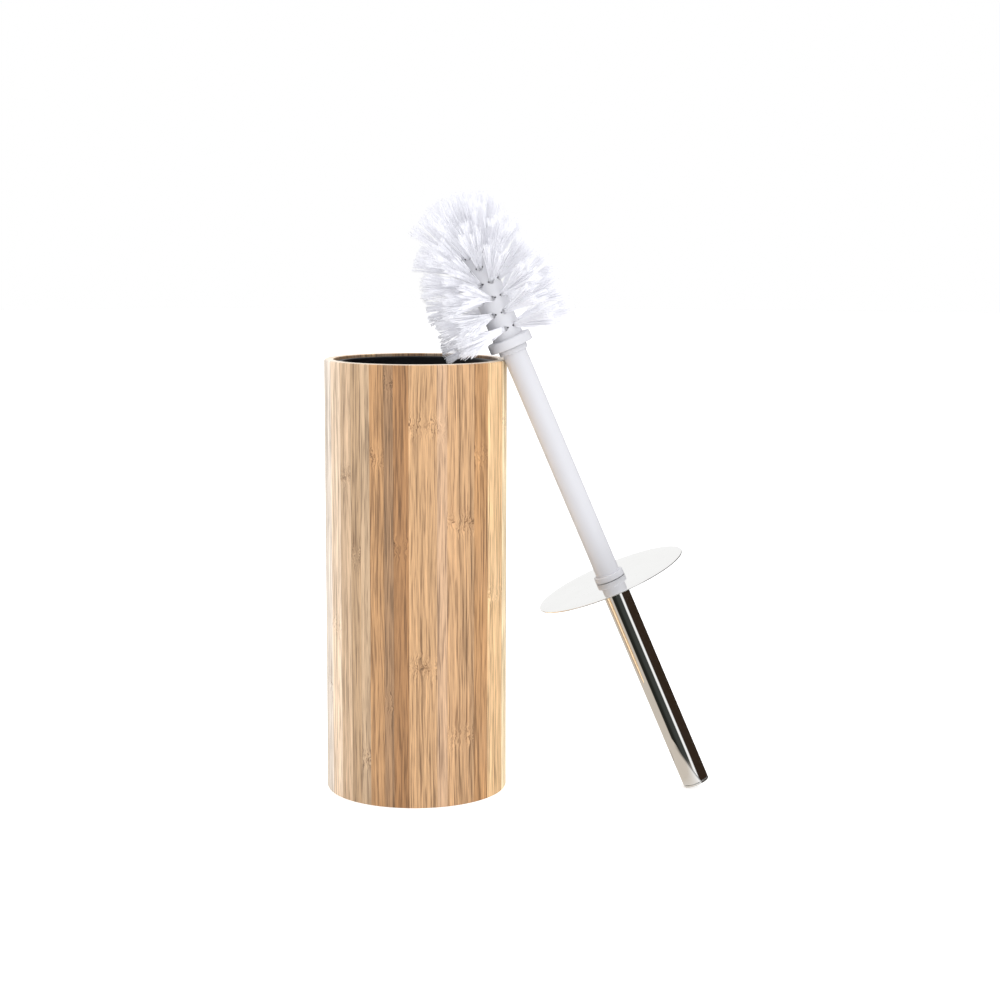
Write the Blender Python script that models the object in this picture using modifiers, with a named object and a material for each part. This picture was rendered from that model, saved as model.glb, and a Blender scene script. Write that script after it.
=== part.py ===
"""Bamboo toilet brush holder with its brush leaning on the rim.

Metres, +Z up. The origin is the centre of the holder's underside, on the floor. The brush stands
upside down on its handle's end, beside the holder on +X, and leans back over the opening.
"""

import math

import bmesh
import bpy
from mathutils import Matrix, Vector

MM = 0.001
GAP = 0.3 * MM  # running and seating clearance between neighbouring pieces

# Holder
SLEEVE_OUTER_R = 50.0 * MM
SLEEVE_WALL = 5.0 * MM
SLEEVE_INNER_R = SLEEVE_OUTER_R - SLEEVE_WALL
SLEEVE_HEIGHT = 239.5 * MM
SLEEVE_OUTER_ROUND = 1.0 * MM
SLEEVE_INNER_ROUND = 0.6 * MM
BASE_THICKNESS = 6.0 * MM

# Liner: it stands on the base, and its lip stops a little below the sleeve's rim
LINER_BOTTOM_Z = BASE_THICKNESS + GAP
LINER_RIM_Z = SLEEVE_HEIGHT - 1.5 * MM
LINER_LIP_OUTER_R = SLEEVE_INNER_R - 0.5 * MM
LINER_LIP_INNER_R = 40.5 * MM
LINER_LIP_THICKNESS = 2.2 * MM
LINER_SKIRT_DEPTH = 7.0 * MM
LINER_SKIRT_WALL = 1.4 * MM
LINER_WALL = 1.7 * MM
LINER_FLOOR_R = 37.8 * MM  # inner radius at the floor: the draft lets the cup leave its mould
LINER_FLOOR_THICKNESS = 2.0 * MM

# Brush: stations are distances up its own axis, from the handle's closed end to the bristles
LEAN = math.radians(23.2)  # from upright, towards -X
SWING = math.radians(3.46)  # the lean turned about +Z, so that the rod passes the rim's front
FOOT_X = 157.1 * MM
FOOT_Y = -6.1 * MM
HANDLE_R = 7.3 * MM
HANDLE_WALL = 0.6 * MM
CAP_HEAD = 1.2 * MM
CAP_SPIGOT = 6.0 * MM
CAP_ROUND = 0.4 * MM
LID_R = 42.3 * MM
LID_THICKNESS = 0.6 * MM
LID_STATION = 125.9 * MM  # the lid's face towards the handle
INSERT_LENGTH = 30.0 * MM
STUD_R = 4.0 * MM
STUD_BORE_R = STUD_R + GAP
LOWER_STUD = 14.0 * MM
UPPER_STUD = 11.8 * MM
BORE_SPARE = 2.0 * MM  # room beyond a stud's end
ROD_R = 6.65 * MM
FLANGE_R = 8.3 * MM
FLANGE_HEIGHT = 3.2 * MM
RING_R = 8.05 * MM
RING_HEIGHT = 2.9 * MM
COLLAR_STATION = 268.4 * MM  # middle of the head's collar
COLLAR_R = 12.15 * MM
COLLAR_HEIGHT = 5.3 * MM

# Brush head, measured up from the middle of the collar
CORE_R = 8.6 * MM
CORE_SHOULDER = 45.5 * MM  # where the rounded end begins
CORE_TOP = 53.6 * MM
TUFTS_PER_ROW = 8
ROW_STEP = 8.8 * MM
FIRST_ROW = 8.2 * MM
ROW_TILTS = (-3.0, 5.0, 13.0, 24.0, 43.0)  # degrees, from square to the core towards its end
TUFT_LENGTH = 27.5 * MM
CROWN_LENGTH = 31.5 * MM
# On the rounded end: tufts, distance from the axis, tilt and turn in degrees
CROWN_RINGS = ((6, 6.8 * MM, 62.0, 0.0), (3, 2.9 * MM, 82.0, 30.0))
TUFT_HOLE_R = 1.7 * MM
TUFT_HOLE_DEPTH = 3.2 * MM
TUFT_HOLE_FLARE = 0.6 * MM  # the hole's mouth opens as its tuft does
TUFT_ROOT_R = 1.4 * MM
TUFT_TIP_R = 4.2 * MM

# Facets
WIDE_STEPS = 64
NARROW_STEPS = 32
HOLE_SIDES = 10
ARC_STEPS = 3

COLLECTION = "toilet_brush_set"
CUTTERS = "cutters"


def clear_scene():
    for old in list(bpy.data.objects):
        bpy.data.objects.remove(old, do_unlink=True)


def new_collection(name):
    made = bpy.data.collections.new(name)
    bpy.context.scene.collection.children.link(made)
    return made


def principled(name, colour, roughness, metallic=0.0):
    material = bpy.data.materials.new(name)
    material.use_nodes = True
    shader = material.node_tree.nodes["Principled BSDF"]
    shader.inputs["Base Color"].default_value = (*colour, 1.0)
    shader.inputs["Roughness"].default_value = roughness
    shader.inputs["Metallic"].default_value = metallic
    return material


def link(obj, collection, material=None, parent=None):
    for other in list(obj.users_collection):
        other.objects.unlink(obj)
    collection.objects.link(obj)
    if material:
        obj.data.materials.append(material)
    obj.parent = parent
    return obj


def rounded(corners):
    """An outline of (radius, height, fillet) corners, each fillet replaced by a short arc."""
    points = []
    count = len(corners)
    for i, (x, z, fillet) in enumerate(corners):
        here = Vector((x, z))
        if not fillet:
            points.append(here)
            continue
        back = (Vector(corners[i - 1][:2]) - here).normalized()
        ahead = (Vector(corners[(i + 1) % count][:2]) - here).normalized()
        half = back.angle(ahead) / 2
        reach = fillet / math.tan(half)
        centre = here + (back + ahead).normalized() * fillet / math.sin(half)
        start = here + back * reach - centre
        end = here + ahead * reach - centre
        sweep = start.angle_signed(end)
        for step in range(ARC_STEPS + 1):
            # Vector.rotate on 2D is anticlockwise, and angle_signed is clockwise.
            turn = Matrix.Rotation(-sweep * step / ARC_STEPS, 2)
            points.append(centre + turn @ start)
    return points


def turned(name, corners, steps, collection, material=None, parent=None, closed=False, base=0.0):
    """A turned piece: the outline runs down the outer side, from top to bottom."""
    points = rounded(corners)
    edges = [(i, i + 1) for i in range(len(points) - 1)]
    if closed:
        edges.append((len(points) - 1, 0))
    mesh = bpy.data.meshes.new(name)
    mesh.from_pydata([(p.x, 0.0, p.y) for p in points], edges, [])
    obj = bpy.data.objects.new(name, mesh)
    link(obj, collection, material, parent)
    obj.location.z = base
    screw = obj.modifiers.new("turn", "SCREW")
    screw.axis = "Z"
    screw.steps = steps
    screw.render_steps = steps
    screw.use_merge_vertices = True
    screw.merge_threshold = 0.01 * MM
    screw.use_smooth_shade = True
    return obj


def along(obj, point, direction):
    """Put a piece's own +Z on a direction, with its origin at a point of its parent's space."""
    obj.location = point
    obj.rotation_mode = "QUATERNION"
    obj.rotation_quaternion = Vector(direction).to_track_quat("Z", "Y")
    return obj


def cone(name, root_r, tip_r, length, sides, collection, material=None, parent=None):
    """A round cone frustum that grows along its own +Z from its origin."""
    bm = bmesh.new()
    bmesh.ops.create_cone(
        bm,
        cap_ends=True,
        segments=sides,
        radius1=root_r,
        radius2=tip_r,
        depth=length,
        matrix=Matrix.Translation((0, 0, length / 2)),
    )
    mesh = bpy.data.meshes.new(name)
    bm.to_mesh(mesh)
    bm.free()
    mesh.shade_smooth()
    mesh.set_sharp_from_angle(angle=math.radians(40))
    return link(bpy.data.objects.new(name, mesh), collection, material, parent)


def make_sleeve(parts, material):
    outer = SLEEVE_OUTER_ROUND
    inner = SLEEVE_INNER_ROUND
    turned(
        "bamboo_sleeve",
        [
            (SLEEVE_OUTER_R, SLEEVE_HEIGHT, outer),
            (SLEEVE_OUTER_R, 0, inner),
            (SLEEVE_INNER_R, 0, 0),
            (SLEEVE_INNER_R, SLEEVE_HEIGHT, inner),
        ],
        WIDE_STEPS,
        parts,
        material,
        closed=True,
    )


def make_base(parts, material):
    turned(
        "base_disc",
        [
            (0, BASE_THICKNESS, 0),
            (SLEEVE_INNER_R - GAP, BASE_THICKNESS, 0),
            (SLEEVE_INNER_R - GAP, 0, SLEEVE_INNER_ROUND),
            (0, 0, 0),
        ],
        WIDE_STEPS,
        parts,
        material,
    )


def make_liner(parts, material):
    """A drafted cup whose lip turns outwards and down into a short skirt."""
    under_lip = LINER_RIM_Z - LINER_LIP_THICKNESS
    skirt_inner_r = LINER_LIP_OUTER_R - LINER_SKIRT_WALL
    cup_outer_r = LINER_LIP_INNER_R + LINER_WALL
    turned(
        "liner_cup",
        [
            (LINER_LIP_OUTER_R, LINER_RIM_Z, 0.8 * MM),
            (LINER_LIP_OUTER_R, LINER_RIM_Z - LINER_SKIRT_DEPTH, 0),
            (skirt_inner_r, LINER_RIM_Z - LINER_SKIRT_DEPTH, 0),
            (skirt_inner_r, under_lip, 0),
            (cup_outer_r, under_lip, 0),
            (LINER_FLOOR_R + LINER_WALL, LINER_BOTTOM_Z, 4.0 * MM),
            (0, LINER_BOTTOM_Z, 0),
            (0, LINER_BOTTOM_Z + LINER_FLOOR_THICKNESS, 0),
            (LINER_FLOOR_R, LINER_BOTTOM_Z + LINER_FLOOR_THICKNESS, 3.0 * MM),
            (LINER_LIP_INNER_R, LINER_RIM_Z, 0.8 * MM),
        ],
        WIDE_STEPS,
        parts,
        material,
        closed=True,
    )


def brush_axis(parts):
    """The brush's own frame: origin at the middle of the handle's end, +Z towards the bristles."""
    axis = bpy.data.objects.new("brush_axis", None)
    link(axis, parts)
    # The end face is square to the leaning axis, and its rounded edge stands on the floor.
    foot_z = (HANDLE_R - CAP_ROUND) * math.sin(LEAN) + CAP_ROUND * (1 - math.cos(LEAN))
    axis.location = (FOOT_X, FOOT_Y, foot_z)
    axis.rotation_euler = (0, -LEAN, SWING)
    return axis


def make_handle(parts, axis, steel, plastic):
    bore_r = HANDLE_R - HANDLE_WALL
    tube_top = LID_STATION - GAP
    turned(
        "handle_tube",
        [
            (HANDLE_R, tube_top, 0.2 * MM),
            (HANDLE_R, CAP_HEAD + GAP, 0),
            (bore_r, CAP_HEAD + GAP, 0),
            (bore_r, tube_top, 0),
        ],
        NARROW_STEPS,
        parts,
        steel,
        axis,
        closed=True,
    )
    turned(
        "handle_end_cap",
        [
            (0, CAP_HEAD + CAP_SPIGOT, 0),
            (bore_r - GAP, CAP_HEAD + CAP_SPIGOT, 0.5 * MM),
            (bore_r - GAP, CAP_HEAD, 0),
            (HANDLE_R, CAP_HEAD, 0.1 * MM),
            (HANDLE_R, 0, CAP_ROUND),
            (0, 0, 0),
        ],
        NARROW_STEPS,
        parts,
        steel,
        axis,
    )
    stud_end = LID_STATION + LID_THICKNESS + GAP - LOWER_STUD
    turned(
        "handle_insert",
        [
            (STUD_BORE_R, tube_top, 0),
            (bore_r - GAP, tube_top, 0),
            (bore_r - GAP, tube_top - INSERT_LENGTH, 0.5 * MM),
            (0, tube_top - INSERT_LENGTH, 0),
            (0, stud_end - BORE_SPARE, 0),
            (STUD_BORE_R, stud_end - BORE_SPARE, 0),
        ],
        NARROW_STEPS,
        parts,
        plastic,
        axis,
        closed=True,
    )


def make_lid(parts, axis, material):
    edge = LID_THICKNESS / 3
    turned(
        "lid_disc",
        [
            (LID_R, LID_THICKNESS, edge),
            (LID_R, 0, edge),
            (STUD_BORE_R, 0, 0),
            (STUD_BORE_R, LID_THICKNESS, 0),
        ],
        WIDE_STEPS,
        parts,
        material,
        axis,
        closed=True,
        base=LID_STATION,
    )


def make_rod(parts, axis, material):
    """The rod with a flange at each end, and a stud beyond each flange."""
    flange_bottom = LID_STATION + LID_THICKNESS + GAP
    flange_top = flange_bottom + FLANGE_HEIGHT
    ring_top = COLLAR_STATION - COLLAR_HEIGHT / 2 - GAP
    ring_bottom = ring_top - RING_HEIGHT
    turned(
        "rod",
        [
            (0, ring_top + UPPER_STUD, 0),
            (STUD_R, ring_top + UPPER_STUD, 0.8 * MM),
            (STUD_R, ring_top, 0),
            (RING_R, ring_top, 0.4 * MM),
            (RING_R, ring_bottom, 0.4 * MM),
            (ROD_R, ring_bottom, 0),
            (ROD_R, flange_top, 0),
            (FLANGE_R, flange_top, 0.4 * MM),
            (FLANGE_R, flange_bottom, 0.4 * MM),
            (STUD_R, flange_bottom, 0),
            (STUD_R, flange_bottom - LOWER_STUD, 0.8 * MM),
            (0, flange_bottom - LOWER_STUD, 0),
        ],
        NARROW_STEPS,
        parts,
        material,
        axis,
    )


def tuft_places():
    """Each tuft's name, the point where it leaves the core, its direction and its length."""
    places = []
    for row, tilt_deg in enumerate(ROW_TILTS):
        tilt = math.radians(tilt_deg)
        height = COLLAR_STATION + FIRST_ROW + row * ROW_STEP
        for i in range(TUFTS_PER_ROW):
            # Each row is turned by half a pitch against the row below it.
            turn = math.tau * (i + (row % 2) / 2) / TUFTS_PER_ROW
            out = Vector((math.cos(turn), math.sin(turn), 0))
            direction = out * math.cos(tilt) + Vector((0, 0, math.sin(tilt)))
            name = f"tuft_row{row + 1}_{i + 1}"
            places.append((name, out * CORE_R + Vector((0, 0, height)), direction, TUFT_LENGTH))
    dome_height = CORE_TOP - CORE_SHOULDER
    for ring, (count, radius, tilt_deg, turn_deg) in enumerate(CROWN_RINGS):
        tilt = math.radians(tilt_deg)
        rise = dome_height * math.sqrt(1 - (radius / CORE_R) ** 2)
        height = COLLAR_STATION + CORE_SHOULDER + rise
        for i in range(count):
            turn = math.tau * i / count + math.radians(turn_deg)
            out = Vector((math.cos(turn), math.sin(turn), 0))
            point = out * radius + Vector((0, 0, height))
            direction = out * math.cos(tilt) + Vector((0, 0, math.sin(tilt)))
            places.append((f"tuft_crown{ring + 1}_{i + 1}", point, direction, CROWN_LENGTH))
    return places


def make_head(parts, cutters, axis, plastic, nylon):
    collar_bottom = COLLAR_STATION - COLLAR_HEIGHT / 2
    collar_top = COLLAR_STATION + COLLAR_HEIGHT / 2
    socket_end = collar_bottom + GAP + UPPER_STUD + BORE_SPARE
    shoulder = COLLAR_STATION + CORE_SHOULDER
    dome_height = CORE_TOP - CORE_SHOULDER
    dome = []
    dome_steps = 6
    for step in range(dome_steps + 1):
        angle = math.pi / 2 * (1 - step / dome_steps)
        dome.append((CORE_R * math.cos(angle), shoulder + dome_height * math.sin(angle), 0))
    dome[0] = (0, COLLAR_STATION + CORE_TOP, 0)
    core = turned(
        "head_core",
        dome
        + [
            (CORE_R, collar_top, 0),
            (COLLAR_R, collar_top, 0.6 * MM),
            (COLLAR_R, collar_bottom, 0.5 * MM),
            (STUD_BORE_R, collar_bottom, 0),
            (STUD_BORE_R, socket_end, 0),
            (0, socket_end, 0),
        ],
        NARROW_STEPS,
        parts,
        plastic,
        axis,
    )
    for name, point, direction, length in tuft_places():
        root = point - direction * (TUFT_HOLE_DEPTH - GAP)
        tuft = cone(
            name,
            TUFT_ROOT_R,
            TUFT_TIP_R,
            length + TUFT_HOLE_DEPTH - GAP,
            HOLE_SIDES,
            parts,
            nylon,
            axis,
        )
        along(tuft, root, direction)
        hole = cone(
            f"hole_{name}",
            TUFT_HOLE_R,
            TUFT_HOLE_R + TUFT_HOLE_FLARE,
            TUFT_HOLE_DEPTH * 2,
            HOLE_SIDES,
            cutters,
            parent=axis,
        )
        along(hole, point - direction * TUFT_HOLE_DEPTH, direction)
        hole.hide_render = True
        hole.display_type = "WIRE"
    drill = core.modifiers.new("tuft_holes", "BOOLEAN")
    drill.operation = "DIFFERENCE"
    drill.solver = "EXACT"
    drill.operand_type = "COLLECTION"
    drill.collection = cutters


def main():
    clear_scene()
    parts = new_collection(COLLECTION)
    cutters = new_collection(CUTTERS)
    bamboo = principled("bamboo", (0.62, 0.41, 0.22), 0.5)
    board = principled("bamboo_board", (0.58, 0.38, 0.2), 0.6)
    black = principled("black_plastic", (0.012, 0.012, 0.013), 0.35)
    steel = principled("polished_steel", (0.75, 0.74, 0.72), 0.06, 1.0)
    white = principled("white_plastic", (0.86, 0.87, 0.88), 0.35)
    insert = principled("insert_plastic", (0.75, 0.75, 0.74), 0.45)
    nylon = principled("bristle_nylon", (0.86, 0.87, 0.93), 0.4)

    make_sleeve(parts, bamboo)
    make_base(parts, board)
    make_liner(parts, black)
    axis = brush_axis(parts)
    make_handle(parts, axis, steel, insert)
    make_lid(parts, axis, steel)
    make_rod(parts, axis, white)
    make_head(parts, cutters, axis, white, nylon)


main()
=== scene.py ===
import math
import random

import bmesh
import bpy
import numpy as np
from mathutils import Matrix, Vector


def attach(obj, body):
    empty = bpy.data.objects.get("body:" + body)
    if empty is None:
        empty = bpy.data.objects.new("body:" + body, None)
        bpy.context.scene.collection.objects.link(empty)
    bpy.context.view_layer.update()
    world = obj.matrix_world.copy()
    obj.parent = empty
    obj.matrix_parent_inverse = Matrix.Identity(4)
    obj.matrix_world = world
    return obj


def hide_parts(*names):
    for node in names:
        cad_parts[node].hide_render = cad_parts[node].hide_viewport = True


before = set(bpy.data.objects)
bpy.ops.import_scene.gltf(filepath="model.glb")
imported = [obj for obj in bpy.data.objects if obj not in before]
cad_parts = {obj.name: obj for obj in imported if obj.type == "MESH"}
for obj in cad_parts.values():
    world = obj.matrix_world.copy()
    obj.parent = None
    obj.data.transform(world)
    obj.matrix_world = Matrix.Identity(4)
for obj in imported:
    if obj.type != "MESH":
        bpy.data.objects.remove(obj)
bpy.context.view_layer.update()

# Bamboo toilet brush set: visible pieces, materials, studio and camera. Metres, +Z up, in the
# frame of the CAD parts. The holder stands at the origin and the brush leans over it from +X.

MM = 0.001
GAP = 0.3 * MM

# Holder
SLEEVE_R = 50.0 * MM
SLEEVE_BORE_R = 45.0 * MM
SLEEVE_HEIGHT = 239.5 * MM
BASE_TOP = 6.0 * MM
LINER_BOTTOM = 6.3 * MM
LINER_RIM = 238.0 * MM
LINER_WALL = 1.7 * MM
LINER_FLOOR = 2.0 * MM
LINER_FLOOR_R = 37.8 * MM
LIP_OUTER_R = 44.5 * MM
LIP_INNER_R = 40.5 * MM
LIP_THICKNESS = 2.2 * MM
SKIRT_DEPTH = 7.0 * MM
SKIRT_WALL = 1.4 * MM

# Brush: stations run up its own axis, from the handle's closed end to the bristles
LEAN = math.radians(23.2)
SWING = math.radians(3.46)
FOOT = Vector((157.1 * MM, -6.1 * MM, 2.751 * MM))
BRUSH = Matrix.LocRotScale(FOOT, Matrix.Rotation(SWING, 3, "Z") @ Matrix.Rotation(-LEAN, 3, "Y"), None)
HANDLE_R = 7.3 * MM
BORE_R = 6.7 * MM
CAP_HEAD = 1.2 * MM
CAP_TOP = 7.2 * MM
TUBE_START = 1.5 * MM
TUBE_END = 125.6 * MM
INSERT_START = 95.6 * MM
INSERT_BORE_END = 111.1 * MM
LID_STATION = 125.9 * MM
LID_R = 42.3 * MM
LID_THICKNESS = 0.6 * MM
STUD_R = 4.0 * MM
STUD_BORE_R = 4.3 * MM
LOWER_STUD = 14.0 * MM
UPPER_STUD = 11.8 * MM
PITCH = 2.5 * MM
THREAD_DEPTH = 0.4 * MM
BORE_THREAD_DEPTH = 0.35 * MM
ROD_R = 6.65 * MM
FLANGE_R = 8.3 * MM
FLANGE_BOTTOM = 126.58 * MM
FLANGE_TOP = 130.0 * MM
RING_R = 8.05 * MM
RING_BOTTOM = 262.55 * MM
RING_TOP = 265.45 * MM
COLLAR = 268.4 * MM
COLLAR_R = 12.15 * MM
COLLAR_HALF = 2.65 * MM
HEAD_BORE = 13.8 * MM
CORE_R = 8.6 * MM
CORE_SHOULDER = 45.5 * MM
DOME_HEIGHT = 8.1 * MM

# Tufts, as they are set in the core
TUFTS_PER_ROW = 8
FIRST_ROW = 8.2 * MM
ROW_STEP = 8.8 * MM
ROW_TILTS = (-3.0, 5.0, 13.0, 24.0, 43.0)
CROWN_RINGS = ((6, 6.8 * MM, 62.0, 0.0), (3, 2.9 * MM, 82.0, 30.0))
TUFT_LENGTH = 27.5 * MM
CROWN_LENGTH = 31.5 * MM
HOLE_DEPTH = 1.5 * MM
HOLE_ROOT_R = 1.4 * MM
HOLE_MOUTH_R = 1.6 * MM
STAPLE_REACH = 1.75 * MM  # from the middle of a hole to the staple's end on each side of it
FILAMENTS = 136
FILAMENT_R = 0.16 * MM
FILAMENT_SECTIONS = 6
FILAMENT_SIDES = 4
ROOT_R = 1.3 * MM  # the filaments leave their hole within this radius
ROOT_DEPTH = 1.4 * MM
LOCKS = 22  # the filaments of a tuft gather in this many clumps
STRAY = 0.85 * MM  # how far a filament's tip strays from its clump's
UNEVEN = 0.5 * MM  # how much the lean of a tuft and the length of a filament vary
BOW = 0.25 * MM
SPREAD = 5.8 * MM  # how far a tuft's tips reach to each side, round the core
REACH = 6.9 * MM  # and up and down it
FIRST_ROW_REACH = 3.6 * MM  # but the first row reaches down less, clear of the collar
# Tufts that lie over to one side, or stand out further: how far their tips go round the core, up it,
# and out, in mm
COMBED = {
    "row1_7": (-23.0, 1.0, 0.0),
    "row2_6": (-10.0, 0.0, 0.0),
    "row2_7": (12.0, 3.0, 0.0),
    "row3_7": (-14.0, 3.0, 0.0),
    "row4_6": (-4.0, 5.0, 0.0),
    "row4_7": (1.5, 6.0, 0.0),
    "row5_7": (1.0, 6.0, 0.0),
    "row1_1": (0.0, -4.0, 4.5),
    "row1_8": (0.0, -3.0, 3.0),
    "row2_8": (0.0, -1.5, 3.5),
    "row2_1": (0.0, -1.5, 3.0),
    "row3_1": (0.0, 0.0, 2.5),
}

# Staves of the sleeve, by the angle in degrees where each begins, from the front (-Y) towards +X,
# its tone and the heights in mm of the knuckles in it. The rest of the sleeve is filled at random.
# The pale tones of the staves at the two sides (-92, -77, -64 and 72 degrees) are partly painted
# highlight: the sheen of the bright surround at a grazing angle, over the bamboo's own tone.
FRONT_STAVES = (
    # Painted highlight: these three pale tones at the left side carry the grazing sheen.
    (-92.0, (214, 198, 176), (170,)),
    (-77.0, (214, 201, 187), (60,)),
    (-64.0, (217, 192, 165), (96,)),
    (-51.7, (188, 159, 128), (178,)),
    (-41.7, (171, 141, 108), (136,)),
    (-33.9, (180, 152, 121), (26,)),
    (-27.2, (173, 131, 88), (190,)),
    (-17.5, (147, 113, 80), (229, 59)),
    (-11.6, (152, 110, 69), (142,)),
    (-2.1, (183, 144, 103), (207, 77)),
    (15.2, (183, 148, 115), (204,)),
    (21.7, (177, 139, 100), (154, 38)),
    (40.8, (170, 128, 85), (190,)),
    (52.8, (211, 175, 130), (112,)),
    # Painted highlight: this pale tone at the right side carries the grazing sheen.
    (72.0, (247, 224, 184), (205,)),
)
FRONT_END = 90.0


# ---------------------------------------------------------------- shapes


def linear(colour):
    """Scene-linear values of an 8-bit display colour."""
    values = []
    for channel in colour:
        c = channel / 255
        values.append(c / 12.92 if c <= 0.04045 else ((c + 0.055) / 1.055) ** 2.4)
    return (*values, 1.0)


def rounded(corners, steps=5):
    """An outline of (radius, height, fillet) corners, each fillet replaced by an arc."""
    points = []
    count = len(corners)
    for i, (x, z, fillet) in enumerate(corners):
        here = Vector((x, z))
        if not fillet:
            points.append(here)
            continue
        back = (Vector(corners[i - 1][:2]) - here).normalized()
        ahead = (Vector(corners[(i + 1) % count][:2]) - here).normalized()
        half = back.angle(ahead) / 2
        reach = fillet / math.tan(half)
        centre = here + (back + ahead).normalized() * fillet / math.sin(half)
        start = here + back * reach - centre
        sweep = start.angle_signed(here + ahead * reach - centre)
        for step in range(steps + 1):
            points.append(centre + Matrix.Rotation(-sweep * step / steps, 2) @ start)
    return points


def cut_up(points, longest, closed=False):
    """The same outline with no step longer than that."""
    result = []
    ends = points[1:] + ([points[0]] if closed else [])
    for a, b in zip(points, ends):
        pieces = max(1, math.ceil((b - a).length / longest))
        result += [a.lerp(b, k / pieces) for k in range(pieces)]
    return result if closed else result + [points[-1]]


def lathe(name, outline, turns=128, closed=False, shape=None):
    """A turned mesh about +Z, whose outline runs down the outer side. Its UV map is in metres:
    round the outline's widest circle, and back along the outline. shape(r, z, angle) may move a
    point in or out."""
    angles = turns if isinstance(turns, list) else [math.tau * k / turns for k in range(turns)]
    rings = []
    verts = []
    for r, z in outline:
        if r < 1e-7:
            rings.append([len(verts)] * len(angles))
            verts.append((0.0, 0.0, z))
            continue
        rings.append(list(range(len(verts), len(verts) + len(angles))))
        for angle in angles:
            radius = shape(r, z, angle) if shape else r
            verts.append((radius * math.cos(angle), radius * math.sin(angle), z))
    along = [0.0]
    loop = list(outline) + ([outline[0]] if closed else [])
    for a, b in zip(loop, loop[1:]):
        along.append(along[-1] + (b - a).length)
    widest = max(p.x for p in outline)
    faces = []
    uvs = []
    last = len(outline) if closed else len(outline) - 1
    for i in range(last):
        upper = rings[i]
        lower = rings[(i + 1) % len(outline)]
        for j, angle in enumerate(angles):
            k = (j + 1) % len(angles)
            after = angles[k] + (math.tau if k == 0 else 0)
            corners = [
                (upper[j], angle, i),
                (lower[j], angle, i + 1),
                (lower[k], after, i + 1),
                (upper[k], after, i),
            ]
            kept = []
            for corner in corners:
                if corner[0] not in [c[0] for c in kept]:
                    kept.append(corner)
            if len(kept) < 3:
                continue
            faces.append([c[0] for c in kept])
            uvs += [(c[1] * widest, outline[0].y - along[c[2]]) for c in kept]
    mesh = bpy.data.meshes.new(name)
    mesh.from_pydata(verts, [], faces)
    layer = mesh.uv_layers.new(name="metres")
    layer.data.foreach_set("uv", np.array(uvs, np.float32).ravel())
    mesh.shade_smooth()
    mesh.set_sharp_from_angle(angle=math.radians(33))
    return mesh


def place(name, mesh, body, material, nodes=(), matrix=None):
    """A visible piece that rides a body and stands for its CAD nodes."""
    piece = bpy.data.objects.new(name, mesh)
    bpy.context.scene.collection.objects.link(piece)
    if matrix is not None:
        piece.matrix_world = matrix
    if material is not None:
        mesh.materials.append(material)
    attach(piece, body)
    if nodes:
        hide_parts(*nodes)
    return piece


def thread(low, high, depth):
    """Moves the points of a lathe between two heights into a screw thread of that depth."""

    def shape(r, z, angle):
        if not low < z < high or abs(r - STUD_R) > 0.5 * MM:
            return r
        phase = ((z - PITCH * angle / math.tau) / PITCH) % 1.0
        ramp = min(1.0, (z - low) / (0.8 * MM), (high - z) / (0.8 * MM))
        tooth = min(1.0, max(0.0, 2.2 * abs(2 * phase - 1) - 0.6))
        return r + depth * ramp * (1 - tooth)

    return shape


# ---------------------------------------------------------------- materials


class Graph:
    """A small builder for one material's or world's nodes."""

    def __init__(self, tree):
        self.tree = tree
        self.tree.nodes.clear()

    def node(self, kind, inputs=(), **settings):
        made = self.tree.nodes.new(kind)
        for key, value in settings.items():
            setattr(made, key, value)
        for key, value in dict(inputs).items():
            self.feed(made.inputs[key], value)
        return made

    def feed(self, socket, value):
        if isinstance(value, bpy.types.NodeSocket):
            self.tree.links.new(value, socket)
        else:
            socket.default_value = value

    def math(self, operation, a, b=0.0, clamp=False):
        return self.node("ShaderNodeMath", {0: a, 1: b}, operation=operation, use_clamp=clamp).outputs[0]

    def vector(self, x, y, z=0.0):
        return self.node("ShaderNodeCombineXYZ", {0: x, 1: y, 2: z}).outputs[0]

    def split(self, vector):
        return self.node("ShaderNodeSeparateXYZ", {0: vector}).outputs

    def zoom(self, vector, factor):
        """The vector times one factor."""
        return self.node("ShaderNodeVectorMath", {0: vector, 3: factor}, operation="SCALE").outputs[0]

    def stretch(self, parts, factors):
        """A vector of the parts, each times its own factor."""
        return self.vector(*[self.math("MULTIPLY", part, factor) for part, factor in zip(parts, factors)])

    def noise(self, vector, detail=3.0, roughness=0.55, w=0.0):
        inputs = {"Vector": vector, "Scale": 1.0, "Detail": detail, "Roughness": roughness, "W": w}
        return self.node("ShaderNodeTexNoise", inputs, noise_dimensions="4D").outputs["Fac"]

    def between(self, value, low, high, start=0.0, end=1.0):
        inputs = {"Value": value, "From Min": low, "From Max": high, "To Min": start, "To Max": end}
        return self.node("ShaderNodeMapRange", inputs).outputs["Result"]

    def mix(self, factor, a, b, blend="MIX"):
        made = self.node("ShaderNodeMix", data_type="RGBA", blend_type=blend)
        self.feed(made.inputs["Factor"], factor)
        self.feed(made.inputs[6], a)
        self.feed(made.inputs[7], b)
        return made.outputs[2]

    def scale(self, colour, factor):
        """The colour, lighter or darker by a factor."""
        grey = self.node("ShaderNodeCombineColor", {0: factor, 1: factor, 2: factor}).outputs[0]
        return self.mix(1.0, colour, grey, "MULTIPLY")

    def attribute(self, name, output="Fac"):
        return self.node("ShaderNodeAttribute", attribute_name=name).outputs[output]

    def bell(self, distance, width):
        """1 where the distance is 0, falling to 0 over that width."""
        ratio = self.math("DIVIDE", distance, width)
        return self.math("POWER", math.e, self.math("MULTIPLY", self.math("MULTIPLY", ratio, ratio), -1.0))

    def bump(self, height, distance, strength=1.0):
        inputs = {"Height": height, "Distance": distance, "Strength": strength}
        return self.node("ShaderNodeBump", inputs).outputs["Normal"]


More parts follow.
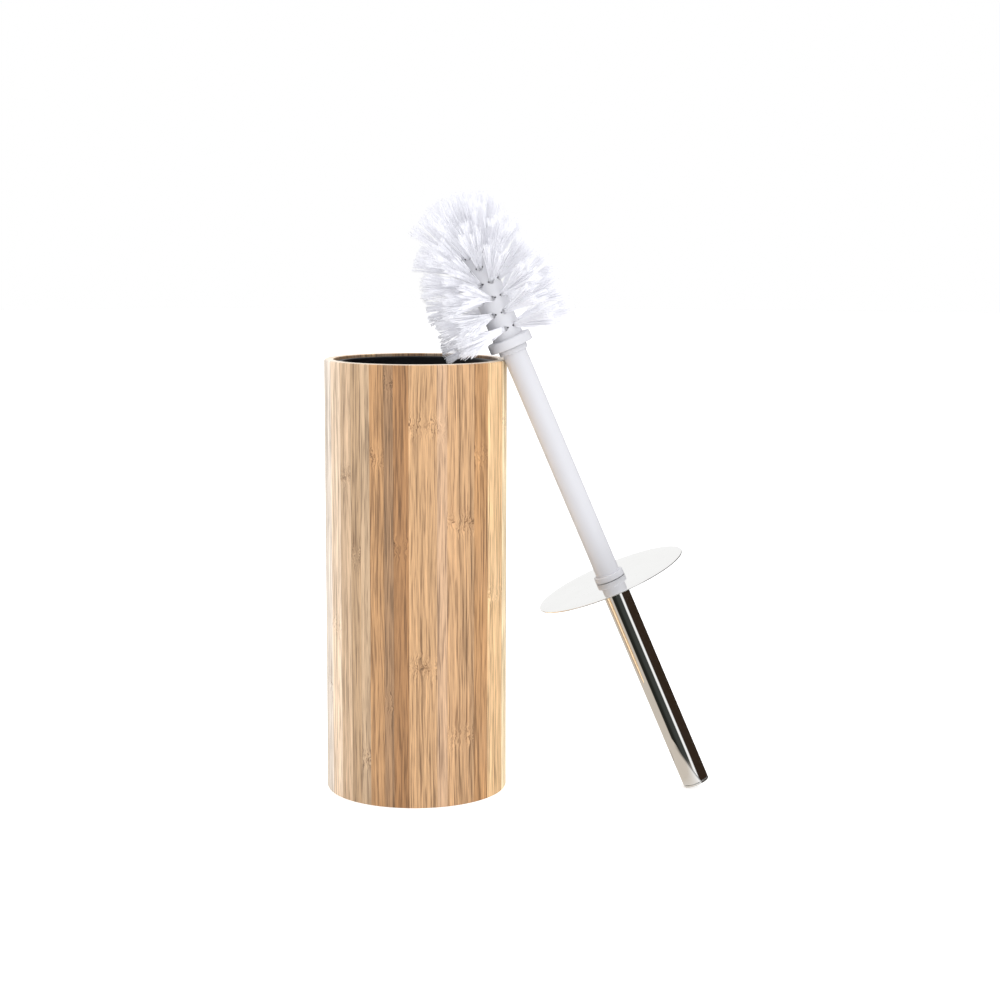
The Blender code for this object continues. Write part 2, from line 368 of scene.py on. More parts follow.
def material(name, **constants):
    """A material with a Principled shader, its graph and the shader node."""
    made = bpy.data.materials.new(name)
    made.use_nodes = True
    graph = Graph(made.node_tree)
    shader = graph.node("ShaderNodeBsdfPrincipled")
    for key, value in constants.items():
        shader.inputs[key.replace("_", " ")].default_value = value
    output = graph.node("ShaderNodeOutputMaterial")
    graph.tree.links.new(shader.outputs[0], output.inputs["Surface"])
    return made, graph, shader


def make_bamboo():
    """Lacquered bamboo staves: each has its own tone, streaks, fibres and curly knuckles."""
    made, g, shader = material("bamboo_staves", Coat_Weight=0.45, Coat_Roughness=0.25)
    u, v, _ = g.split(g.node("ShaderNodeUVMap", uv_map="metres").outputs[0])
    tone = g.attribute("stave_tone", "Color")
    seed = g.attribute("stave_seed")

    def grain(across, along, detail=2.0, offset=0.0, source=u):
        """Noise with so many waves a metre across the stave and along it."""
        spot = g.vector(g.math("MULTIPLY", source, across), g.math("MULTIPLY", v, along), offset)
        return g.noise(spot, detail, 0.6, seed)

    # The height above the stave's nearest knuckle, whose line is a little wavy
    ripple = g.math("MULTIPLY", g.math("SUBTRACT", grain(170.0, 12.0, 1.0, 8.8), 0.5), 9.0 * MM)
    knuckle = g.math("ADD", g.math("SUBTRACT", v, g.attribute("stave_knuckle")), ripple)

    # The fibres wander a little along the stave, and swirl at a knuckle.
    swirl = g.math("MULTIPLY", g.math("SUBTRACT", grain(330.0, 210.0), 0.5), g.bell(knuckle, 6.0 * MM))
    drift = g.math("MULTIPLY", grain(20.0, 11.0, 1.0), 5.0 * MM)
    bent = g.math("ADD", g.math("ADD", u, drift), g.math("MULTIPLY", swirl, 7.0 * MM))
    streaks = grain(430.0, 3.0, 2.0, 1.3, bent)
    strands = grain(900.0, 16.0, 3.0, 4.1, bent)
    fibres = grain(1500.0, 42.0, 2.0, 7.7, bent)
    hairs = grain(4200.0, 130.0, 2.0, 9.2, bent)
    dark_strands = g.between(strands, 0.54, 0.66)
    dark_fibres = g.between(fibres, 0.53, 0.63)

    # A knuckle: dark curls on its line, a darker plume above it and a pale band below, in patches
    patch = g.between(grain(240.0, 60.0, 1.0, 3.0), 0.5, 0.6)
    curl = g.between(grain(900.0, 1000.0, 3.0, 5.5, bent), 0.49, 0.62)
    curl = g.math("MULTIPLY", g.math("MULTIPLY", curl, patch), g.bell(knuckle, 2.6 * MM))
    plume = g.bell(g.math("SUBTRACT", knuckle, 9.0 * MM), 10.0 * MM)
    plume = g.math("MULTIPLY", g.math("MULTIPLY", plume, patch), g.between(strands, 0.42, 0.6))
    pale = g.math("MULTIPLY", g.bell(g.math("ADD", knuckle, 3.2 * MM), 2.6 * MM), patch)

    joint = g.bell(g.attribute("stave_joint"), 0.2 * MM)
    joint = g.math("MULTIPLY", joint, g.between(grain(1.0, 14.0), 0.35, 0.65))
    value = g.between(streaks, 0.3, 0.7, 0.86, 1.16)
    for factor, low, high, start, end in (
        (dark_strands, 0.0, 1.0, 1.0, 0.54),
        (dark_fibres, 0.0, 1.0, 1.0, 0.56),
        (curl, 0.0, 1.0, 1.0, 0.42),
        (plume, 0.0, 1.0, 1.0, 0.8),
        (joint, 0.0, 1.0, 1.0, 0.74),
        (fibres, 0.34, 0.48, 1.34, 1.08),
        (strands, 0.34, 0.48, 1.16, 1.04),
        (hairs, 0.3, 0.7, 1.12, 0.9),
        (pale, 0.0, 1.0, 1.0, 1.07),
        # Painted shade: the sleeve's inner wall is drawn at half its brightness, as if in the tube's shade.
        (g.attribute("stave_inner_wall_shade"), 0.0, 1.0, 1.0, 0.5),
    ):
        value = g.math("MULTIPLY", value, g.between(factor, low, high, start, end))
    warm = g.math("ADD", g.math("MULTIPLY", dark_strands, 0.35), g.math("MULTIPLY", dark_fibres, 0.3))
    warm = g.math("ADD", warm, g.math("ADD", curl, g.math("MULTIPLY", plume, 0.4)), clamp=True)
    colour = g.scale(tone, value)
    colour = g.mix(warm, colour, g.mix(1.0, colour, (1.02, 0.89, 0.76, 1.0), "MULTIPLY"))
    g.feed(shader.inputs["Base Color"], colour)
    g.feed(shader.inputs["Roughness"], g.between(strands, 0.3, 0.7, 0.42, 0.56))
    height = g.math("ADD", g.math("MULTIPLY", fibres, -0.5), g.math("MULTIPLY", joint, -1.0))
    height = g.math("ADD", height, g.math("MULTIPLY", curl, -0.8))
    g.feed(shader.inputs["Normal"], g.bump(height, 0.05 * MM, 0.7))
    return made


def make_bamboo_end():
    """The staves' cut ends: a pale ground dotted with the dark ends of the fibres. The pale cream mixed
    into the tone is partly the end grain's own colour, partly a painted highlight on the rim's edge.
    """
    made, g, shader = material("bamboo_end_grain", Coat_Weight=0.15, Coat_Roughness=0.35)
    spot = g.node("ShaderNodeTexCoord").outputs["Object"]
    tone = g.attribute("stave_tone", "Color")
    seam = g.bell(g.attribute("stave_joint"), 0.15 * MM)
    cells = g.node("ShaderNodeTexVoronoi", {"Vector": spot, "Scale": 1500.0}).outputs["Distance"]
    dots = g.between(cells, 0.16, 0.34, 1.0, 0.0)
    broad = g.noise(g.zoom(spot, 240.0), 2.0)
    light = g.between(broad, 0.3, 0.7, 0.96, 1.1)
    light = g.math("MULTIPLY", light, g.between(dots, 0.0, 1.0, 1.04, 0.72))
    light = g.math("MULTIPLY", light, g.between(seam, 0.0, 1.0, 1.0, 0.7))
    # Painted highlight in part: the stave tone mixed 60% towards pale cream.
    g.feed(shader.inputs["Base Color"], g.scale(g.mix(0.6, tone, linear((246, 234, 216))), light))
    g.feed(shader.inputs["Roughness"], g.between(cells, 0.1, 0.5, 0.62, 0.5))
    g.feed(shader.inputs["Normal"], g.bump(dots, -0.04 * MM, 0.6))
    return made


def make_board():
    """Pressed bamboo board: straight strips side by side, sanded and thinly lacquered."""
    made, g, shader = material("bamboo_board_strips", Coat_Weight=0.1, Coat_Roughness=0.4)
    strip_width = 6.4 * MM
    x, y, z = g.split(g.node("ShaderNodeTexCoord").outputs["Object"])
    across = g.math("DIVIDE", x, strip_width)
    strip = g.math("FLOOR", across)
    seed = g.math("MULTIPLY", strip, 3.71)
    tone = g.node("ShaderNodeTexWhiteNoise", {"W": seed}, noise_dimensions="1D").outputs["Value"]
    middle = g.math("ABSOLUTE", g.math("SUBTRACT", g.math("SUBTRACT", across, strip), 0.5))
    side = g.math("MULTIPLY", g.math("SUBTRACT", 0.5, middle), strip_width)
    seam = g.bell(side, 0.15 * MM)
    fibres = g.noise(g.stretch((x, y, z), (1500.0, 16.0, 1500.0)), 3.0, 0.6, seed)
    lines = g.between(fibres, 0.52, 0.68)
    colour = g.mix(tone, linear((188, 143, 100)), linear((224, 184, 140)))
    light = g.between(lines, 0.0, 1.0, 1.03, 0.84)
    light = g.math("MULTIPLY", light, g.between(seam, 0.0, 1.0, 1.0, 0.6))
    g.feed(shader.inputs["Base Color"], g.scale(colour, light))
    g.feed(shader.inputs["Roughness"], g.between(fibres, 0.3, 0.7, 0.5, 0.64))
    g.feed(shader.inputs["Normal"], g.bump(g.math("ADD", fibres, seam), -0.04 * MM, 0.7))
    return made


def make_moulded(name, colour, roughness, grain, tint=0.03, **constants):
    """Moulded plastic: a faint orange-peel skin, uneven gloss and slight flow marks."""
    made, g, shader = material(name, **constants)
    spot = g.node("ShaderNodeTexCoord").outputs["Object"]
    flow = g.noise(g.stretch(g.split(spot), (90.0, 90.0, 25.0)), 3.0)
    skin = g.noise(g.zoom(spot, 1400.0), 2.0)
    wear = g.noise(g.zoom(spot, 260.0), 4.0, 0.65)
    light = g.between(flow, 0.3, 0.7, 1.0 - tint, 1.0 + tint)
    g.feed(shader.inputs["Base Color"], g.scale(linear(colour), light))
    g.feed(shader.inputs["Roughness"], g.between(wear, 0.3, 0.7, roughness - 0.05, roughness + 0.08))
    g.feed(shader.inputs["Normal"], g.bump(g.math("ADD", skin, wear), grain, 0.5))
    return made


def make_steel():
    """Mirror-polished stainless steel with hairline polishing marks and faint wiping haze."""
    made, g, shader = material("polished_stainless_steel", Metallic=1.0)
    spot = g.node("ShaderNodeTexCoord").outputs["Object"]
    x, y, z = g.split(spot)
    rings = g.noise(g.stretch((g.math("ARCTAN2", y, x), z), (3.0, 5200.0)), 2.0)
    haze = g.noise(g.zoom(spot, 70.0), 4.0, 0.6)
    askew = {"Vector": spot, "Angle": 0.7, "Axis": (0.3, 0.5, 0.8)}
    turned = g.node("ShaderNodeVectorRotate", askew).outputs[0]
    scratch = g.noise(g.stretch(g.split(turned), (5000.0, 60.0, 60.0)), 2.0)
    marks = g.between(scratch, 0.7, 0.78)
    g.feed(shader.inputs["Base Color"], g.mix(haze, linear((240, 240, 238)), linear((247, 247, 246))))
    level = g.between(haze, 0.35, 0.7, 0.035, 0.085)
    g.feed(shader.inputs["Roughness"], g.math("ADD", level, g.math("MULTIPLY", marks, 0.05)))
    height = g.math("ADD", g.math("MULTIPLY", rings, 0.3), marks)
    g.feed(shader.inputs["Normal"], g.bump(height, 0.002 * MM, 0.25))
    return made


def make_nylon():
    """Bluish white nylon filament, a little uneven from one filament to the next."""
    made, g, shader = material("bristle_nylon_filament", Sheen_Weight=0.5, Sheen_Roughness=0.45)
    spot = g.node("ShaderNodeTexCoord").outputs["Object"]
    patch = g.noise(g.zoom(spot, 160.0), 2.0)
    shade = g.attribute("filament_shade")
    colour = g.mix(shade, linear((243, 243, 248)), linear((248, 248, 252)))
    g.feed(shader.inputs["Base Color"], g.scale(colour, g.between(patch, 0.3, 0.7, 0.97, 1.0)))
    g.feed(shader.inputs["Roughness"], g.between(shade, 0.0, 1.0, 0.32, 0.5))
    g.feed(shader.inputs["Normal"], g.bump(patch, 0.02 * MM, 0.3))
    return made


def make_staple_metal():
    """Galvanised wire ends, drawn near black: partly the dull wire, partly painted shade of the dark
    spots beside each hole.
    """
    made, g, shader = material("staple_wire_and_shade", Metallic=0.6)
    spot = g.node("ShaderNodeTexCoord").outputs["Object"]
    wear = g.noise(g.zoom(spot, 1800.0), 3.0)
    # Painted shade: near black, far darker than bare wire, for the dark spots beside each hole.
    g.feed(shader.inputs["Base Color"], g.mix(wear, linear((26, 22, 30)), linear((54, 48, 58))))
    g.feed(shader.inputs["Roughness"], g.between(wear, 0.3, 0.7, 0.4, 0.6))
    return made


# ---------------------------------------------------------------- holder


def staves():
    """The staves round the sleeve: angle where each begins, tone, seed and knuckle heights."""
    rng = random.Random(7)
    made = []
    for i, (start, tone, knots) in enumerate(FRONT_STAVES):
        made.append((start, tone, 1.7 * i, knots))
    angle = FRONT_END
    # These include the -64 degree stave's pale tone, which is partly painted highlight.
    tones = [stave[1] for stave in FRONT_STAVES[2:-1]]
    finish = FRONT_STAVES[0][0] + 360
    while finish - angle > 6.0:
        if rng.random() < 0.5:
            knots = (rng.uniform(15, 120), rng.uniform(150, 225))
        else:
            knots = (rng.uniform(20, 220),)
        made.append((angle, rng.choice(tones), 31.0 + angle, knots))
        angle += rng.uniform(8.5, 16.0)
    return made, finish


def make_sleeve(bamboo, end_grain):
    """The bamboo tube. Its columns of faces begin and end at the joints between the staves."""
    pieces, finish = staves()
    starts = [piece[0] for piece in pieces] + [finish]
    columns = []
    owner = []
    for i, start in enumerate(starts[:-1]):
        width = starts[i + 1] - start
        count = max(4, round(width / 1.6))
        for k in range(count):
            columns.append(math.radians(start + width * k / count - 90.0))
            owner.append(i)
    outline = rounded(
        [
            (SLEEVE_R, SLEEVE_HEIGHT, 1.0 * MM),
            (SLEEVE_R, 0, 0.6 * MM),
            (SLEEVE_BORE_R, 0, 0),
            (SLEEVE_BORE_R, SLEEVE_HEIGHT, 0.6 * MM),
        ]
    )
    outline = cut_up(outline, 6.0 * MM, closed=True)
    mesh = lathe("sleeve_staves", outline, columns, closed=True)
    mesh.materials.append(bamboo)
    mesh.materials.append(end_grain)
    tones = []
    seeds = []
    joints = []
    knuckles = []
    inner_wall_shade = []
    uv = mesh.uv_layers[0].data
    for face in mesh.polygons:
        i = owner[face.index % len(columns)]
        _, tone, seed, knots = pieces[i]
        height = sum(uv[k].uv[1] for k in face.loop_indices) / face.loop_total
        nearest = min(knots, key=lambda knot: abs(knot * MM - height)) * MM
        level = abs(face.normal.z) > 0.8 and face.area > 0
        face.material_index = 1 if level else 0
        edges = [math.radians(starts[i] - 90.0), math.radians(starts[i + 1] - 90.0)]
        for k in face.loop_indices:
            radius = mesh.vertices[mesh.loops[k].vertex_index].co.to_2d().length
            # 1 on the inner wall: the mask for its painted shade
            inner_wall_shade.append(1.0 if radius < SLEEVE_BORE_R + 0.1 * MM else 0.0)
            angle = uv[k].uv[0] / SLEEVE_R
            tones += linear(tone)
            seeds.append(seed)
            joints.append(min(abs(angle - edges[0]), abs(edges[1] - angle)) * SLEEVE_R)
            knuckles.append(nearest)
    mesh.attributes.new("stave_tone", "FLOAT_COLOR", "CORNER").data.foreach_set("color", tones)
    measures = (("seed", seeds), ("joint", joints), ("knuckle", knuckles), ("inner_wall_shade", inner_wall_shade))
    for name, values in measures:
        mesh.attributes.new(f"stave_{name}", "FLOAT", "CORNER").data.foreach_set("value", values)
    place("sleeve_staves", mesh, "holder", None, ["bamboo_sleeve"])


def make_holder(bamboo, end_grain, board, black):
    make_sleeve(bamboo, end_grain)
    disc = rounded(
        [
            (0, BASE_TOP, 0),
            (SLEEVE_BORE_R - GAP, BASE_TOP, 0.3 * MM),
            (SLEEVE_BORE_R - GAP, 0, 0.6 * MM),
            (0, 0, 0),
        ]
    )
    place("base_board", lathe("base_board", disc), "holder", board, ["base_disc"])
    under_lip = LINER_RIM - LIP_THICKNESS
    skirt_end = LINER_RIM - SKIRT_DEPTH
    cup = rounded(
        [
            (LIP_OUTER_R, LINER_RIM, 0.9 * MM),
            (LIP_OUTER_R, skirt_end, 0.3 * MM),
            (LIP_OUTER_R - SKIRT_WALL, skirt_end, 0.3 * MM),
            (LIP_OUTER_R - SKIRT_WALL, under_lip, 0),
            (LIP_INNER_R + LINER_WALL, under_lip, 0),
            (LINER_FLOOR_R + LINER_WALL, LINER_BOTTOM, 4.0 * MM),
            (0, LINER_BOTTOM, 0),
            (0, LINER_BOTTOM + LINER_FLOOR, 0),
            (LINER_FLOOR_R, LINER_BOTTOM + LINER_FLOOR, 3.0 * MM),
            (LIP_INNER_R, LINER_RIM, 0.9 * MM),
        ]
    )
    mesh = lathe("liner_shell", cup, closed=True)
    place("liner_shell", mesh, "liner", black, ["liner_cup"])


# ---------------------------------------------------------------- brush


def make_handle(steel, insert):
    tube = rounded(
        [
            (HANDLE_R, TUBE_END, 0.25 * MM),
            (HANDLE_R, TUBE_START, 0.2 * MM),
            (BORE_R, TUBE_START, 0),
            (BORE_R, TUBE_END, 0.1 * MM),
        ]
    )
    tube = cut_up(tube, 20 * MM, closed=True)
    mesh = lathe("handle_barrel", tube, closed=True)
    place("handle_barrel", mesh, "handle", steel, ["handle_tube"], BRUSH)
    cap = rounded(
        [
            (0, CAP_TOP, 0),
            (BORE_R - GAP, CAP_TOP, 0.5 * MM),
            (BORE_R - GAP, CAP_HEAD, 0),
            (HANDLE_R, CAP_HEAD, 0.15 * MM),
            (HANDLE_R, 0, 0.4 * MM),
            (0, 0, 0),
        ]
    )
    mesh = lathe("handle_cap", cap)
    place("handle_cap", mesh, "handle", steel, ["handle_end_cap"], BRUSH)
    socket = rounded(
        [
            (STUD_BORE_R, TUBE_END, 0.2 * MM),
            (BORE_R - GAP, TUBE_END, 0.2 * MM),
            (BORE_R - GAP, INSERT_START, 0.5 * MM),
            (0, INSERT_START, 0),
            (0, INSERT_BORE_END, 0),
            (STUD_BORE_R, INSERT_BORE_END, 0),
        ]
    )
    socket = cut_up(socket, 0.3 * MM, closed=True)
    shape = thread(INSERT_BORE_END, TUBE_END, BORE_THREAD_DEPTH)
    mesh = lathe("handle_socket", socket, 48, closed=True, shape=shape)
    place("handle_socket", mesh, "handle", insert, ["handle_insert"], BRUSH)


def make_lid(steel):
    disc = rounded(
        [
            (LID_R, LID_STATION + LID_THICKNESS, 0.25 * MM),
            (LID_R, LID_STATION, 0.25 * MM),
            (STUD_BORE_R, LID_STATION, 0.08 * MM),
            (STUD_BORE_R, LID_STATION + LID_THICKNESS, 0.08 * MM),
        ]
    )
    disc = cut_up(disc, 8 * MM, closed=True)
    mesh = lathe("lid_plate", disc, 192, closed=True)
    place("lid_plate", mesh, "lid", steel, ["lid_disc"], BRUSH)


def make_rod(white):
    low_stud = (FLANGE_BOTTOM - LOWER_STUD, FLANGE_BOTTOM)
    high_stud = (RING_TOP, RING_TOP + UPPER_STUD)
    root = STUD_R - THREAD_DEPTH
    outline = rounded(
        [
            (0, high_stud[1], 0),
            (root, high_stud[1], 0.8 * MM),
            (root, RING_TOP, 0),
            (RING_R, RING_TOP, 0.45 * MM),
            (RING_R, RING_BOTTOM, 0.45 * MM),
            (ROD_R, RING_BOTTOM, 0),
            (ROD_R, FLANGE_TOP, 0),
            (FLANGE_R, FLANGE_TOP, 0.45 * MM),
            (FLANGE_R, FLANGE_BOTTOM, 0.3 * MM),
            (root, FLANGE_BOTTOM, 0),
            (root, low_stud[0], 0.8 * MM),
            (0, low_stud[0], 0),
        ]
    )
    fine = []
    for a, b in zip(outline, outline[1:]):
        stud = abs(a.x - root) < 1e-6 and abs(b.x - root) < 1e-6
        fine += cut_up([a, b], 0.25 * MM if stud else 20 * MM)[:-1]
    fine.append(outline[-1])
    low = thread(*low_stud, THREAD_DEPTH)
    high = thread(*high_stud, THREAD_DEPTH)

    def both(r, z, angle):
        return low(r, z, angle) if z < COLLAR / 2 else high(r, z, angle)

    mesh = lathe("rod_shaft", fine, 96, shape=both)
    place("rod_shaft", mesh, "rod", white, ["rod"], BRUSH)


def tuft_places():
    """Each tuft's name, the point where it leaves the core, its direction and its length."""
    places = []
    for row, tilt_deg in enumerate(ROW_TILTS):
        tilt = math.radians(tilt_deg)
        height = COLLAR + FIRST_ROW + row * ROW_STEP
        for i in range(TUFTS_PER_ROW):
            turn = math.tau * (i + (row % 2) / 2) / TUFTS_PER_ROW
            out = Vector((math.cos(turn), math.sin(turn), 0))
            direction = out * math.cos(tilt) + Vector((0, 0, math.sin(tilt)))
            point = out * CORE_R + Vector((0, 0, height))
            places.append((f"row{row + 1}_{i + 1}", point, direction, TUFT_LENGTH))
    for ring, (count, radius, tilt_deg, turn_deg) in enumerate(CROWN_RINGS):
        tilt = math.radians(tilt_deg)
        height = COLLAR + CORE_SHOULDER + DOME_HEIGHT * math.sqrt(1 - (radius / CORE_R) ** 2)
        for i in range(count):
            turn = math.tau * i / count + math.radians(turn_deg)
            out = Vector((math.cos(turn), math.sin(turn), 0))
            direction = out * math.cos(tilt) + Vector((0, 0, math.sin(tilt)))
            point = out * radius + Vector((0, 0, height))
            places.append((f"crown{ring + 1}_{i + 1}", point, direction, CROWN_LENGTH))
    return places


def fan(rng, point, direction, length, down, comb):
    """One tuft's filaments as points, faces and a shade for each point. They leave the hole close
    together, part in two over the staple, and spread into a fan with an unevenly cut end."""
    outward = Vector((direction.x, direction.y, 0)).normalized()
    around = Vector((0, 0, 1)).cross(outward)
    up = direction.cross(around)
    lean = (comb[0] * MM + rng.gauss(0, UNEVEN), comb[1] * MM + rng.gauss(0, UNEVEN))
    swept = math.hypot(*lean)
    locks = []
    for k in range(LOCKS):
        side = 1 if k % 2 else -1
        reach = rng.uniform(0.12, 1.0)
        locks.append((rng.uniform(-1, 1) * SPREAD, (REACH if side > 0 else down) * side * reach))
    verts = []
    faces = []
    shades = []
    for _ in range(FILAMENTS):
        lock = rng.choice(locks)
        tip = (lock[0] + rng.gauss(0, STRAY) + lean[0], lock[1] + rng.gauss(0, STRAY) + lean[1])
        radius = math.hypot(*tip)
        turn = math.atan2(tip[1], tip[0]) + rng.gauss(0, 0.5)
        root = ROOT_R * math.sqrt(rng.random())
        start = (root * math.cos(turn), root * math.sin(turn))
        bow = rng.gauss(0, BOW)
        bow_turn = rng.uniform(0, math.tau)
        # A filament that spreads or lies over reaches less far out.
        reach = length + rng.gauss(0, UNEVEN) - 0.38 * radius * radius / length - 0.25 * swept
        shade = rng.random()
        first = len(verts)
        for k in range(FILAMENT_SECTIONS + 1):
            t = k / FILAMENT_SECTIONS
            grow = t**1.15
            arch = bow * math.sin(math.pi * t)
            wide = start[0] * (1 - grow) + tip[0] * grow + arch * math.cos(bow_turn)
            tall = start[1] * (1 - grow) + tip[1] * grow + arch * math.sin(bow_turn)
            centre = point + direction * (t * (reach + ROOT_DEPTH) - ROOT_DEPTH) + around * wide + up * tall
            thick = FILAMENT_R * (1 - 0.2 * t)
            for side in range(FILAMENT_SIDES):
                angle = math.tau * side / FILAMENT_SIDES
                verts.append(centre + (around * math.cos(angle) + up * math.sin(angle)) * thick)
                shades.append(shade)
        for k in range(FILAMENT_SECTIONS):
            base = first + k * FILAMENT_SIDES
            for side in range(FILAMENT_SIDES):
                after = (side + 1) % FILAMENT_SIDES
                ahead = base + FILAMENT_SIDES
                faces.append((base + side, base + after, ahead + after, ahead + side))
        last = first + FILAMENT_SECTIONS * FILAMENT_SIDES
        faces.append(tuple(first + side for side in reversed(range(FILAMENT_SIDES))))
        faces.append(tuple(last + side for side in range(FILAMENT_SIDES)))
    return verts, faces, shades


def make_tufts(nylon):
    for n, (name, point, direction, length) in enumerate(tuft_places()):
        rng = random.Random(100 + n)
        down = FIRST_ROW_REACH if name.startswith("row1") else REACH
        comb = COMBED.get(name, (0.0, 0.0, 0.0))
        verts, faces, shades = fan(rng, point, direction, length + comb[2] * MM, down, comb)
        mesh = bpy.data.meshes.new(f"bristles_{name}")
        mesh.from_pydata([tuple(v) for v in verts], [], faces)
        mesh.shade_smooth()
        mesh.set_sharp_from_angle(angle=math.radians(95))
        mesh.attributes.new("filament_shade", "FLOAT", "POINT").data.foreach_set("value", shades)
        piece = place(f"bristles_{name}", mesh, "head", nylon, [f"tuft_{name}"], BRUSH)
        piece.visible_shadow = False  # thin nylon lets the light through to what is behind it


def drilled(mesh, drill_mesh):
    """A new mesh: the first with the second cut away."""
    blank = bpy.data.objects.new("core_blank", mesh)
    drill = bpy.data.objects.new("drill", drill_mesh)
    for obj in (drill, blank):
        bpy.context.scene.collection.objects.link(obj)
    cut = blank.modifiers.new("holes", "BOOLEAN")
    cut.operation = "DIFFERENCE"
    cut.solver = "EXACT"
    cut.use_self = True
    cut.object = drill
    graph = bpy.context.evaluated_depsgraph_get()
    result = bpy.data.meshes.new_from_object(blank.evaluated_get(graph))
    for obj in (drill, blank):
        bpy.data.objects.remove(obj, do_unlink=True)
    return result


def core_outline():
    """The core's outline, from its rounded end down over the collar and up into its socket."""
    low = COLLAR - COLLAR_HALF
    high = COLLAR + COLLAR_HALF
    socket_end = low + GAP + HEAD_BORE
    corners = []
    dome_steps = 12
    for step in range(dome_steps + 1):
        angle = math.pi / 2 * (1 - step / dome_steps)
        radius = 0.0 if step == 0 else CORE_R * math.cos(angle)
        corners.append((radius, COLLAR + CORE_SHOULDER + DOME_HEIGHT * math.sin(angle), 0))
    corners += [
        (CORE_R, high, 0.3 * MM),
        (COLLAR_R, high, 0.7 * MM),
        (COLLAR_R, low, 0.6 * MM),
        (STUD_BORE_R, low, 0.2 * MM),
        (STUD_BORE_R, socket_end, 0),
        (0, socket_end, 0),
    ]
    outline = rounded(corners)
    fine = []
    for a, b in zip(outline, outline[1:]):
        bore = abs(a.x - STUD_BORE_R) < 1e-6 and abs(b.x - STUD_BORE_R) < 1e-6
        fine += cut_up([a, b], 0.3 * MM if bore else 20 * MM)[:-1]
    fine.append(outline[-1])
    return fine, thread(low, socket_end, BORE_THREAD_DEPTH)


def make_core(white, wire):
    """The head's core with its drilled holes, and the staple ends beside each hole."""
    outline, shape = core_outline()
    mesh = lathe("core_turned", outline, 96, shape=shape)
    holes = bmesh.new()
    ends = bmesh.new()
    for name, point, direction, _ in tuft_places():
        along = direction.to_track_quat("Z", "Y").to_matrix().to_4x4()
        bmesh.ops.create_cone(
            holes,
            cap_ends=True,
            segments=20,
            radius1=HOLE_ROOT_R,
            radius2=HOLE_MOUTH_R,
            depth=2 * HOLE_DEPTH,
            matrix=Matrix.Translation(point) @ along,
        )
        in_row = name.startswith("row")
        outward = Vector((point.x, point.y, 0)).normalized()
        sideways = Vector((0, 0, 1)).cross(outward)
        normal = outward if in_row else direction
        facing = normal.to_track_quat("Z", "Y").to_matrix().to_4x4()
        for side in (-1, 1):
            spot = point + sideways * side * STAPLE_REACH
            if in_row:
                spot = Vector((spot.x, spot.y, 0)).normalized() * CORE_R + Vector((0, 0, spot.z))
            bmesh.ops.create_cone(
                ends,
                cap_ends=True,
                segments=12,
                radius1=0.46 * MM,
                radius2=0.4 * MM,
                depth=0.7 * MM,
                matrix=Matrix.Translation(spot) @ facing,
            )
    drill = bpy.data.meshes.new("drill")
    holes.to_mesh(drill)
    holes.free()
    core = drilled(mesh, drill)
    core.name = "core_drilled"
    core.set_sharp_from_angle(angle=math.radians(33))
    place("core_drilled", core, "head", white, ["head_core"], BRUSH)
    staples = bpy.data.meshes.new("staple_ends")
    ends.to_mesh(staples)
    ends.free()
    # These staple ends carry the painted shade beside each hole.
    place("staple_ends", staples, "head", wire, (), BRUSH)


# ---------------------------------------------------------------- studio


def make_floor():
    bpy.ops.mesh.primitive_circle_add(vertices=64, radius=6.0, fill_type="NGON", location=(0, 0, 0))
    floor = bpy.context.object
    floor.name = "studio_floor"
    made, g, shader = material("studio_floor_paint", Emission_Strength=0.4, Roughness=0.9)
    shader.inputs["Emission Color"].default_value = (1, 1, 1, 1)
    spot = g.node("ShaderNodeTexCoord").outputs["Object"]
    tooth = g.noise(g.zoom(spot, 900.0), 2.0)
    g.feed(shader.inputs["Base Color"], g.mix(tooth, linear((232, 232, 232)), linear((236, 236, 236))))
    g.feed(shader.inputs["Normal"], g.bump(tooth, 0.02 * MM, 0.2))
    floor.data.materials.append(made)
    floor.visible_glossy = False


def make_foot_card():
    """A glowing card by the handle's foot that only mirrors see: a painted reflection of the floor
    there, beige to white, with a dark rim.
    """
    middle = (0.145, -0.014, 0.0003)
    bpy.ops.mesh.primitive_circle_add(vertices=48, radius=0.042, fill_type="NGON", location=middle)
    card = bpy.context.object
    card.name = "studio_foot_card"
    made, g, shader = material("studio_foot_card_painted_reflection", Emission_Strength=1.0, Roughness=1.0)
    spot = g.node("ShaderNodeTexCoord").outputs["Object"]
    x = g.split(spot)[0]
    edge = g.node("ShaderNodeVectorMath", {0: spot}, operation="LENGTH").outputs["Value"]
    # Painted reflection: beige to white across the card, and a dark patch at its left rim.
    glow = g.mix(g.between(x, 0.0, 0.025), linear((206, 196, 184)), linear((250, 250, 250)))
    rim = g.math("MULTIPLY", g.between(edge, 0.028, 0.041), g.between(x, -0.028, -0.014))
    glow = g.mix(rim, glow, linear((52, 53, 50)))
    g.feed(shader.inputs["Emission Color"], glow)
    shader.inputs["Base Color"].default_value = (0, 0, 0, 1)
    card.data.materials.append(made)
    card.visible_camera = False
    card.visible_diffuse = False
    card.visible_transmission = False
    card.visible_shadow = False


